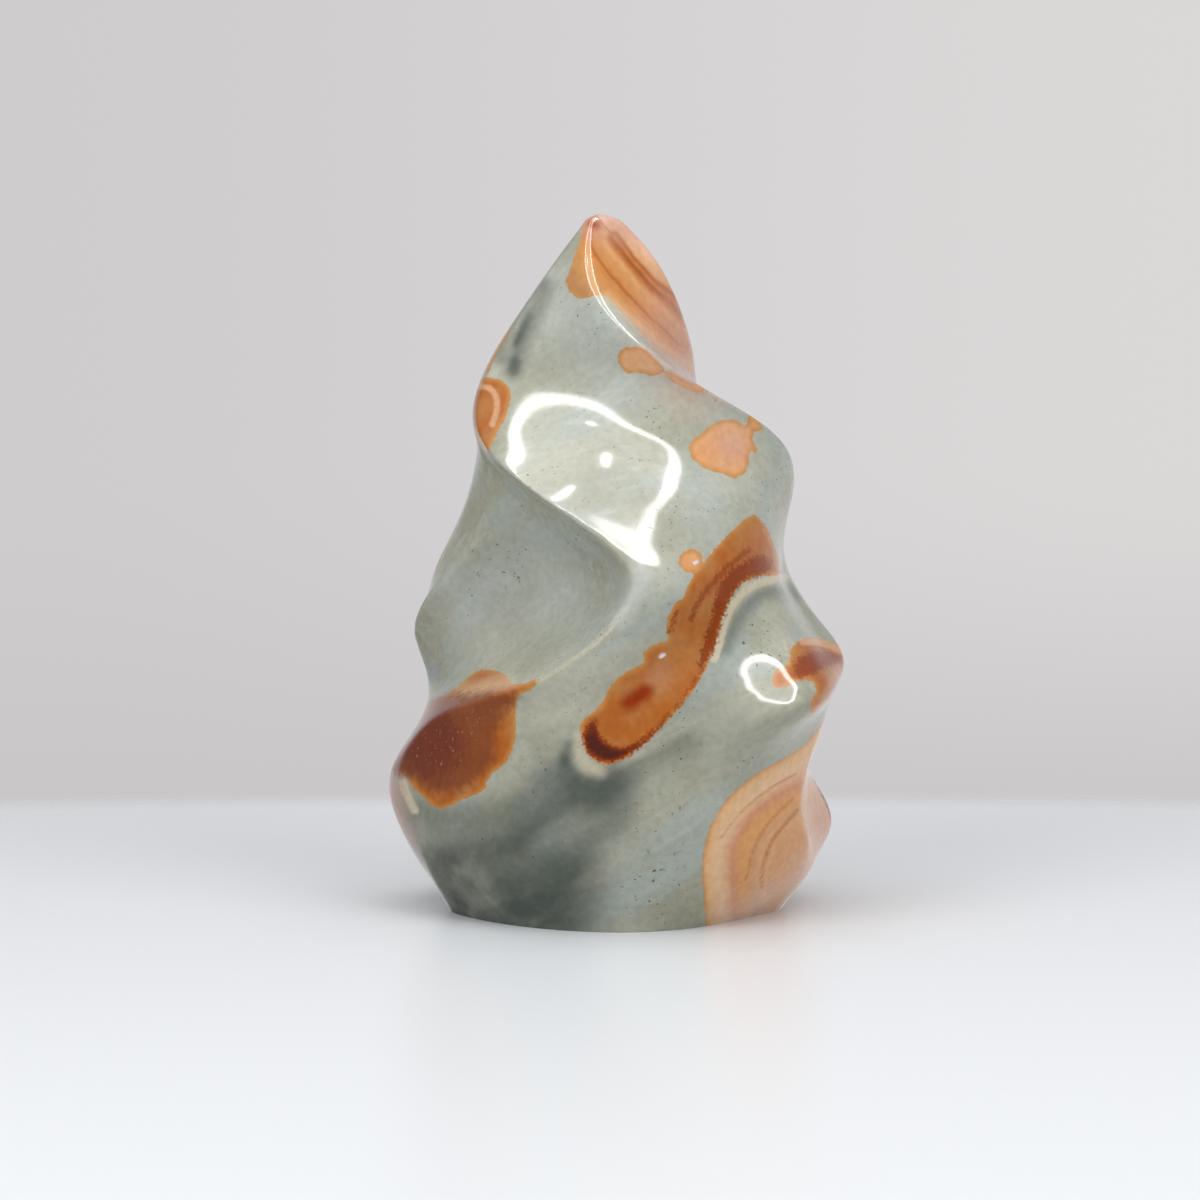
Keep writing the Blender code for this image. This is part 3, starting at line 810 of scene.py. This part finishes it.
def ragged_edge_group():
    """Depth in, mask out: 1 inside the marking, 0 outside, with a grainy edge between."""
    tree = bpy.data.node_groups.new("ragged edge", "ShaderNodeTree")
    for name, value in (("Depth", 0.0), ("Wander", 0.4), ("Grains per mm", 1.5), ("Softness", 0.2)):
        socket = tree.interface.new_socket(name, in_out="INPUT", socket_type="NodeSocketFloat")
        socket.default_value = value
    tree.interface.new_socket("Mask", in_out="OUTPUT", socket_type="NodeSocketFloat")
    given = tree.nodes.new("NodeGroupInput").outputs
    grains = noise(tree, stone_place(tree), given["Grains per mm"])
    swing = calculated(tree, "MULTIPLY", calculated(tree, "SUBTRACT", grains, 0.5), given["Wander"])
    moved = calculated(tree, "ADD", given["Depth"], calculated(tree, "MULTIPLY", swing, SWING_STRETCH))
    below = calculated(tree, "MULTIPLY", given["Softness"], -1.0)
    mask = spread_out(tree, moved, below, given["Softness"])
    tree.links.new(mask, tree.nodes.new("NodeGroupOutput").inputs["Mask"])
    return tree


RAGGED_EDGE = ragged_edge_group()


def ragged_mask(tree, name, wander, grains, softness, deeper=0.0):
    """One use of the group, for a depth that was kept on the stone's points."""
    depth = calculated(tree, "ADD", kept_depth(tree, name), deeper)
    feeds = {"Depth": depth, "Wander": wander, "Grains per mm": grains, "Softness": softness}
    return add_node(tree, "ShaderNodeGroup", feeds, node_tree=RAGGED_EDGE).outputs["Mask"]


print("Group inputs:", [item.name for item in RAGGED_EDGE.interface.items_tree])

# %% [markdown]
# ## The ground of the stone
#
# Under the markings the stone is a cloudy grey-green. Broad noise changes it from sage to olive, and noise
# stretched along one direction gives the long brush-like streaks that run up to the right. The drawn clouds
# lie over them: pale ones that are painted light, and dark ones that are partly the stone's own dark
# patches and partly painted shade. Fine dark specks are a small noise that only shows at its strongest.

# %% Colours of the ground
SAGE = (0.42, 0.42, 0.335, 1.0)
OLIVE = (0.33, 0.33, 0.25, 1.0)
BLUE_GREY = (0.37, 0.42, 0.39, 1.0)
CHALK = (0.52, 0.52, 0.44, 1.0)
PAINTED_LIGHT_TINT = (0.58, 0.62, 0.60, 1.0)
DARK_STONE_AND_SHADE = (0.085, 0.10, 0.085, 1.0)
SPECK = (0.07, 0.07, 0.05, 1.0)
STREAK_ANGLE = math.radians(33.0)


def streaked(tree, place, along, across):
    """Noise stretched along the direction of the streaks."""
    turned = add_node(
        tree, "ShaderNodeVectorRotate", {"Vector": place, "Angle": STREAK_ANGLE}, rotation_type="Y_AXIS"
    ).outputs[0]
    drawn = add_node(
        tree, "ShaderNodeVectorMath", {0: turned, 1: (along, across, across)}, operation="MULTIPLY"
    ).outputs[0]
    return noise(tree, drawn, 1.0)


def ground_colour(tree, place):
    """The grey-green ground with its streaks, painted light, dark clouds with painted shade, and specks."""
    colour = mixed(tree, spread_out(tree, noise(tree, place, 0.05), 0.35, 0.65), SAGE, OLIVE)
    wide = spread_out(tree, streaked(tree, place, 0.02, 0.11), 0.45, 0.7)
    colour = laid(tree, colour, BLUE_GREY, wide, 0.7)
    thin = spread_out(tree, streaked(tree, place, 0.035, 0.45), 0.52, 0.75)
    colour = laid(tree, colour, CHALK, thin, 0.35)
    # Painted light and a painted highlight, laid on as a pale tint
    colour = laid(tree, colour, PAINTED_LIGHT_TINT, kept_depth(tree, "pale"))
    uneven = spread_out(tree, streaked(tree, place, 0.03, 0.14), 0.15, 0.6)
    uneven = calculated(tree, "ADD", calculated(tree, "MULTIPLY", uneven, 0.55), 0.5)
    # Dark clouds: partly the stone's dark patches, partly painted shade
    colour = laid(tree, colour, DARK_STONE_AND_SHADE, kept_depth(tree, "cloud"), uneven)
    specks = spread_out(tree, noise(tree, place, 1.4, 2.0), 0.66, 0.72)
    clusters = spread_out(tree, noise(tree, place, 0.09), 0.4, 0.7)
    return laid(tree, colour, SPECK, specks, clusters)


print("Streaks rise at", round(math.degrees(STREAK_ANGLE)), "degrees")

# %% [markdown]
# ## The orange, rust and cream markings
#
# Each marking is laid over the last one with its own ragged mask. At the foot the colours run in bands
# that follow the patch's outline, like tree rings, and at the tip they run in stripes beside one drawn
# line.

# %% Colours of the markings
RIM_ORANGE = (0.53, 0.24, 0.06, 1.0)
DEEP_ORANGE = (0.42, 0.12, 0.018, 1.0)
WARM_TAN = (0.45, 0.18, 0.05, 1.0)
PEACH = (0.66, 0.36, 0.17, 1.0)
APRICOT = (0.66, 0.30, 0.12, 1.0)
ROSE = (0.58, 0.34, 0.28, 1.0)
RUST = (0.25, 0.04, 0.004, 1.0)
BROWN = (0.21, 0.055, 0.02, 1.0)
WINE = (0.165, 0.036, 0.018, 1.0)
MAROON = (0.085, 0.017, 0.010, 1.0)
EYE_RED = (0.28, 0.03, 0.002, 1.0)
CREAM_AND_GLINT = (0.56, 0.50, 0.36, 1.0)
PALE_PEACH = (0.72, 0.46, 0.27, 1.0)
QUARTZ = (0.66, 0.62, 0.66, 1.0)
FOOT_BANDS = (
    (0, (0.62, 0.3, 0.1)), (0.8, (0.71, 0.43, 0.22)), (3, (0.73, 0.49, 0.3)), (4.4, (0.68, 0.38, 0.22)),
    (5.2, (0.62, 0.29, 0.16)), (6.4, (0.66, 0.32, 0.13)), (7.6, (0.68, 0.34, 0.13)),
    (8.8, (0.62, 0.33, 0.16)), (9.9, (0.66, 0.36, 0.19)), (13, (0.64, 0.33, 0.15)), (16, (0.63, 0.35, 0.2)),
)
TIP_BANDS = (
    (-9.5, (0.5, 0.24, 0.09)), (-8, (0.56, 0.27, 0.09)), (-6, (0.62, 0.27, 0.075)),
    (-4.6, (0.58, 0.22, 0.055)), (-4.2, (0.42, 0.12, 0.022)), (-3.7, (0.58, 0.23, 0.06)),
    (-1.6, (0.66, 0.33, 0.13)), (-1, (0.54, 0.19, 0.045)), (-0.3, (0.34, 0.085, 0.016)),
    (0.3, (0.54, 0.2, 0.05)), (0.9, (0.4, 0.11, 0.022)), (1.5, (0.7, 0.37, 0.18)), (4, (0.84, 0.54, 0.4)),
    (8, (0.86, 0.62, 0.52)),
)

print("Bands at the foot:", len(FOOT_BANDS), " stripes at the tip:", len(TIP_BANDS))

# %% The orange inside the patches
def swayed(tree, name, broad, sway):
    """A kept depth that broad noise moves up and down."""
    moved = calculated(tree, "MULTIPLY", calculated(tree, "SUBTRACT", broad, 0.5), sway)
    return calculated(tree, "ADD", kept_depth(tree, name), moved)


def patch_colour(tree, broad, cream_and_glint):
    """Deep or pale orange with its rim, the bands at the foot and the stripes at the tip."""
    blend = spread_out(tree, broad, 0.35, 0.65)
    deep = mixed(tree, blend, DEEP_ORANGE, WARM_TAN)
    pale = mixed(tree, blend, APRICOT, PEACH)
    colour = laid(tree, deep, pale, ragged_mask(tree, "pale_mm", 0.1, 1.0, 0.5))
    rim = spread_out(tree, kept_depth(tree, "orange_mm"), 1.1, 0.1)
    colour = laid(tree, colour, RIM_ORANGE, rim, 0.75)
    foot_bands = colour_row(tree, swayed(tree, "foot_mm", broad, 1.2), FOOT_BANDS)
    colour = laid(tree, colour, foot_bands, ragged_mask(tree, "foot_mm", 0.1, 1.0, 0.3))
    tip_bands = colour_row(tree, swayed(tree, "across_mm", broad, 1.6), TIP_BANDS)
    colour = laid(tree, colour, tip_bands, ragged_mask(tree, "tip_mm", 0.1, 1.0, 0.6))
    colour = laid(tree, colour, DEEP_ORANGE, ragged_mask(tree, "arc_mm", 0.05, 0.8, 0.35), 0.7)
    colour = laid(tree, colour, PALE_PEACH, kept_depth(tree, "halo"))
    return laid(tree, colour, PALE_PEACH, cream_and_glint, 0.6)


print("Orange runs from", DEEP_ORANGE[:3], "to", PEACH[:3])

# %% Everything laid over the ground
# Each overlay, from the lowest up: kept name, wander, grains per mm, softness, mm added to its depth, colour
# and strength
OVERLAYS = (
    ("bulge_rust_mm", 0.8, 0.7, 1.2, 0.7, BROWN, 0.85),
    ("bulge_maroon_mm", 1.6, 0.5, 2.4, 0.0, WINE, 0.9),
    ("scratch_mm", 0.5, 1.6, 0.3, 0.0, RUST, 0.7),
    ("rust_mm", 0.75, 1.8, 0.45, 0.0, RUST, 0.92),
    ("maroon_mm", 0.5, 2.0, 0.4, 0.0, RUST, 1.0),
    ("maroon_mm", 0.3, 1.2, 0.5, -0.6, MAROON, 1.0),
    ("red_mm", 0.2, 0.9, 1.2, 0.0, EYE_RED, 1.0),
    ("quartz_mm", 0.1, 1.5, 0.2, 0.0, QUARTZ, 1.0),
)


def marked_colour(tree, place, ground):
    """The ground with every marking laid over it."""
    # Cream rims and veins, and one painted highlight along the crest below the nose
    cream_and_glint = ragged_mask(tree, "cream_and_glint_mm", 0.15, 1.2, 0.3)
    orange = patch_colour(tree, noise(tree, place, 0.16), cream_and_glint)
    colour = laid(tree, ground, CREAM_AND_GLINT, kept_depth(tree, "halo"))
    colour = laid(tree, colour, CREAM_AND_GLINT, cream_and_glint)
    colour = laid(tree, colour, orange, ragged_mask(tree, "orange_mm", 0.25, 0.9, 0.14))
    # Rose clouds, one of them partly a painted reflection
    colour = laid(tree, colour, ROSE, kept_depth(tree, "rose"), 0.8)
    for *mask, over, strength in OVERLAYS:
        colour = laid(tree, colour, over, ragged_mask(tree, *mask), strength)
    inner = spread_out(tree, kept_depth(tree, "bulge_rust_mm"), 0.5, 4.0)
    sparkle = spread_out(tree, noise(tree, place, 1.7, 4.0), 0.62, 0.72)
    sparkle = calculated(tree, "MULTIPLY", sparkle, inner)
    colour = laid(tree, colour, ROSE, sparkle, 0.5)
    grain = spread_out(tree, noise(tree, place, 0.8), 0.3, 0.7)
    value = calculated(tree, "ADD", calculated(tree, "MULTIPLY", grain, 0.12), 0.94)
    return add_node(tree, "ShaderNodeHueSaturation", {"Value": value, "Color": colour}).outputs[0]


print("Overlays:", len(OVERLAYS))

# %% [markdown]
# ## The polish
#
# Polished jasper is quartz, with a refractive index near 1.54. The polish is very smooth, so lamps mirror
# in it almost sharply. Both numbers go straight on the Principled BSDF's sockets.

# %% The jasper material
POLISH_ROUGHNESS = 0.1
QUARTZ_INDEX = 1.54


def jasper_material():
    """Polished jasper with all its markings."""
    material = bpy.data.materials.new("polished_jasper")
    material.use_nodes = True
    tree = material.node_tree
    polish = tree.nodes["Principled BSDF"]
    polish.inputs["Roughness"].default_value = POLISH_ROUGHNESS
    polish.inputs["IOR"].default_value = QUARTZ_INDEX
    place = stone_place(tree)
    colour = marked_colour(tree, place, ground_colour(tree, place))
    tree.links.new(colour, polish.inputs["Base Color"])
    return material


stone.data.materials.clear()
stone.data.materials.append(jasper_material())
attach(stone, "root")
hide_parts("flame_carving")
print("Nodes in the material:", len(stone.data.materials[0].node_tree.nodes))

# %% [markdown]
# ## The table
#
# The stone stands on a white glossy table before a pale backdrop. A real backdrop would hide the stone
# from behind, so the table is an oval sheet that fades out at its rim, and the sky that the camera sees is
# a soft gradient of pale grey. The polish doesn't mirror the table, which keeps the colours at the foot
# deep.

# %% A table that fades out at its rim
TABLE_MIDDLE = (0.0, -0.12, 0.0)
TABLE_HALF_WIDTH = 0.62
TABLE_HALF_DEPTH = 0.275
FADE_START = 0.90
TABLE_WHITE = (0.78, 0.80, 0.82, 1.0)


def table_material():
    """Glossy white that turns clear towards the rim."""
    material = bpy.data.materials.new("white_table")
    material.use_nodes = True
    tree = material.node_tree
    gloss = tree.nodes["Principled BSDF"]
    gloss.inputs["Base Color"].default_value = TABLE_WHITE
    gloss.inputs["Roughness"].default_value = 0.3
    place = tree.nodes.new("ShaderNodeTexCoord").outputs["Object"]
    reach = add_node(tree, "ShaderNodeVectorMath", {0: place}, operation="LENGTH").outputs["Value"]
    tree.links.new(spread_out(tree, reach, 1.0, FADE_START), gloss.inputs["Alpha"])
    return material


bpy.ops.mesh.primitive_circle_add(vertices=96, radius=1.0, fill_type="NGON", location=TABLE_MIDDLE)
table = bpy.context.object
table.name = "table"
table.scale = (TABLE_HALF_WIDTH, TABLE_HALF_DEPTH, 1.0)
table.data.materials.append(table_material())
table.visible_glossy = False
print("Table, m:", 2 * TABLE_HALF_WIDTH, "by", 2 * TABLE_HALF_DEPTH)

# %% [markdown]
# ## The lamps
#
# The bright loop on the stone is the mirror image of a square ceiling lamp: a pale glowing panel with a
# brighter rounded tube round it. An area light alone would mirror as an even block. So the panel and the
# tube are shapes that only mirrors see, and an area light of the same size, which mirrors don't see, gives
# the light. Two bulbs make the small bright dots, and two soft lights brighten the stone's flanks.

# %% The outline of the ceiling lamp
LAMP_HEIGHT = 0.75
LAMP_MIDDLE = (0.0, -0.12)
LAMP_HALF_SIZES = (0.33, 0.31)
LAMP_SQUARENESS = 3.4
LAMP_POINTS = 64


def lamp_outline():
    """Places round the lamp's rounded rectangle."""
    places = []
    for number in range(LAMP_POINTS):
        angle = 2 * math.pi * number / LAMP_POINTS
        across = abs(math.cos(angle)) ** LAMP_SQUARENESS + abs(math.sin(angle)) ** LAMP_SQUARENESS
        reach = across ** (-1 / LAMP_SQUARENESS)
        right = LAMP_MIDDLE[0] + LAMP_HALF_SIZES[0] * reach * math.cos(angle)
        back = LAMP_MIDDLE[1] + LAMP_HALF_SIZES[1] * reach * math.sin(angle)
        places.append((right, back, LAMP_HEIGHT))
    return places


print("Lamp, m:", 2 * LAMP_HALF_SIZES[0], "by", 2 * LAMP_HALF_SIZES[1])

# %% The tube, the panel and the bulbs
TUBE_RADIUS = 0.032
TUBE_GLOW = 15.0
PANEL_GLOW = 2.8
BULB_PLACES = ((0.036, 0.046, LAMP_HEIGHT), (-0.146, -0.242, LAMP_HEIGHT))
BULB_RADIUS = 0.011
BULB_GLOW = 60.0


def glow(name, strength):
    """A plain glowing material."""
    material = bpy.data.materials.new(name)
    material.use_nodes = True
    light = material.node_tree.nodes["Principled BSDF"]
    light.inputs["Base Color"].default_value = (0.0, 0.0, 0.0, 1.0)
    light.inputs["Emission Color"].default_value = (1.0, 1.0, 1.0, 1.0)
    light.inputs["Emission Strength"].default_value = strength
    return material


def lamp_tube():
    """The bright tube round the lamp."""
    curve = bpy.data.curves.new("lamp_tube", "CURVE")
    curve.dimensions = "3D"
    curve.bevel_depth = TUBE_RADIUS
    spline = curve.splines.new("POLY")
    spline.points.add(LAMP_POINTS - 1)
    for point, place in zip(spline.points, lamp_outline()):
        point.co = (*place, 1.0)
    spline.use_cyclic_u = True
    tube = bpy.data.objects.new("lamp_tube", curve)
    bpy.context.scene.collection.objects.link(tube)
    return tube


def lamp_panel():
    """The pale panel inside the tube."""
    mesh = bpy.data.meshes.new("lamp_panel")
    places = lamp_outline()
    mesh.from_pydata(places, [], [tuple(range(len(places)))])
    panel = bpy.data.objects.new("lamp_panel", mesh)
    bpy.context.scene.collection.objects.link(panel)
    return panel


def small_bulb(place):
    """One small round bulb."""
    bpy.ops.mesh.primitive_uv_sphere_add(segments=24, ring_count=12, radius=BULB_RADIUS, location=place)
    return bpy.context.object


tube = lamp_tube()
panel = lamp_panel()
bulbs = [small_bulb(place) for place in BULB_PLACES]
tube.data.materials.append(glow("tube_glow", TUBE_GLOW))
panel.data.materials.append(glow("panel_glow", PANEL_GLOW))
bulb_glow = glow("bulb_glow", BULB_GLOW)
for bulb in bulbs:
    bulb.data.materials.append(bulb_glow)
for lamp in (tube, panel, *bulbs):
    lamp.visible_camera = False
    lamp.visible_diffuse = False
    lamp.visible_shadow = False
print("Bulbs:", len(bulbs))

# %% The lights that the mirrors don't see
LAMP_WATTS = 1.9
SIDE_SIZE = 0.35
SIDE_AIM = (0.0, 0.0, 0.085)
SIDE_LIGHTS = (("left_light", (-0.34, -0.40, 0.42), 1.7), ("right_light", (0.36, -0.38, 0.44), 1.6))


def soft_light(name, place, aim, width, height, watts):
    """An area light that mirrors don't see."""
    light = bpy.data.objects.new(name, bpy.data.lights.new(name, "AREA"))
    light.data.shape = "RECTANGLE"
    light.data.size = width
    light.data.size_y = height
    light.data.energy = watts
    light.location = place
    light.rotation_euler = (Vector(aim) - Vector(place)).to_track_quat("-Z", "Y").to_euler()
    light.visible_glossy = False
    bpy.context.scene.collection.objects.link(light)


lamp_size = [2 * half for half in LAMP_HALF_SIZES]
soft_light("ceiling_light", (*LAMP_MIDDLE, LAMP_HEIGHT), (*LAMP_MIDDLE, 0.0), *lamp_size, LAMP_WATTS)
for name, place, watts in SIDE_LIGHTS:
    soft_light(name, place, SIDE_AIM, SIDE_SIZE, SIDE_SIZE, watts)
print("Side lights, W:", [watts for _, _, watts in SIDE_LIGHTS])

# %% [markdown]
# ## The room's soft light and the camera
#
# Low down, the room is bright behind the stone and dark on the camera's side. Its walls are a dim grey
# above that, and its ceiling is pale. The dark parts keep the stone's colours deep. The camera stands 65
# cm in front of the stone, near its upper half, and looks down a little with a long lens.

# %% The room's light and the camera
BACKDROP_LEFT = (0.62, 0.605, 0.612, 1.0)
BACKDROP_RIGHT = (0.70, 0.688, 0.684, 1.0)
BACKDROP_LOW = (0.58, 0.562, 0.568, 1.0)
ROOM_BEHIND = (0.74, 0.73, 0.74, 1.0)
ROOM_IN_FRONT = (0.10, 0.10, 0.11, 1.0)
ROOM_WALLS = (0.26, 0.26, 0.27, 1.0)
ROOM_ABOVE = (0.60, 0.61, 0.63, 1.0)
CAMERA_PLACE = (-0.0035, -0.65, 0.1062)
LOOK_DOWN = math.radians(4.6)
LENS = 112.3


def room_world():
    """The room's soft light, and the backdrop that only the camera sees."""
    world = bpy.data.worlds.new("room")
    world.use_nodes = True
    tree = world.node_tree
    background = tree.nodes["Background"]
    direction = tree.nodes.new("ShaderNodeTexCoord").outputs["Generated"]
    parts = add_node(tree, "ShaderNodeSeparateXYZ", {0: direction}).outputs
    turned = calculated(tree, "ADD", parts["Y"], calculated(tree, "MULTIPLY", parts["X"], 0.45))
    level = mixed(tree, spread_out(tree, turned, 0.3, 1.1), ROOM_IN_FRONT, ROOM_BEHIND)
    walls = mixed(tree, spread_out(tree, parts["Z"], 0.05, 0.35), level, ROOM_WALLS)
    room = mixed(tree, spread_out(tree, parts["Z"], 0.5, 0.95), walls, ROOM_ABOVE)
    backdrop = mixed(tree, spread_out(tree, parts["X"], -0.16, 0.16), BACKDROP_LEFT, BACKDROP_RIGHT)
    low = spread_out(tree, parts["Z"], -0.04, -0.16)
    backdrop = mixed(tree, low, backdrop, BACKDROP_LOW)
    seen = tree.nodes.new("ShaderNodeLightPath").outputs["Is Camera Ray"]
    tree.links.new(mixed(tree, seen, room, backdrop), background.inputs["Color"])
    return world


bpy.context.scene.world = room_world()

camera = bpy.data.objects.new("camera", bpy.data.cameras.new("camera"))
camera.data.lens = LENS
camera.data.sensor_width = 36.0
camera.location = CAMERA_PLACE
camera.rotation_euler = (math.radians(90.0) - LOOK_DOWN, 0.0, 0.0)
bpy.context.scene.collection.objects.link(camera)
bpy.context.scene.camera = camera
bpy.context.scene.view_settings.view_transform = "Standard"
print("Lens, mm:", LENS)
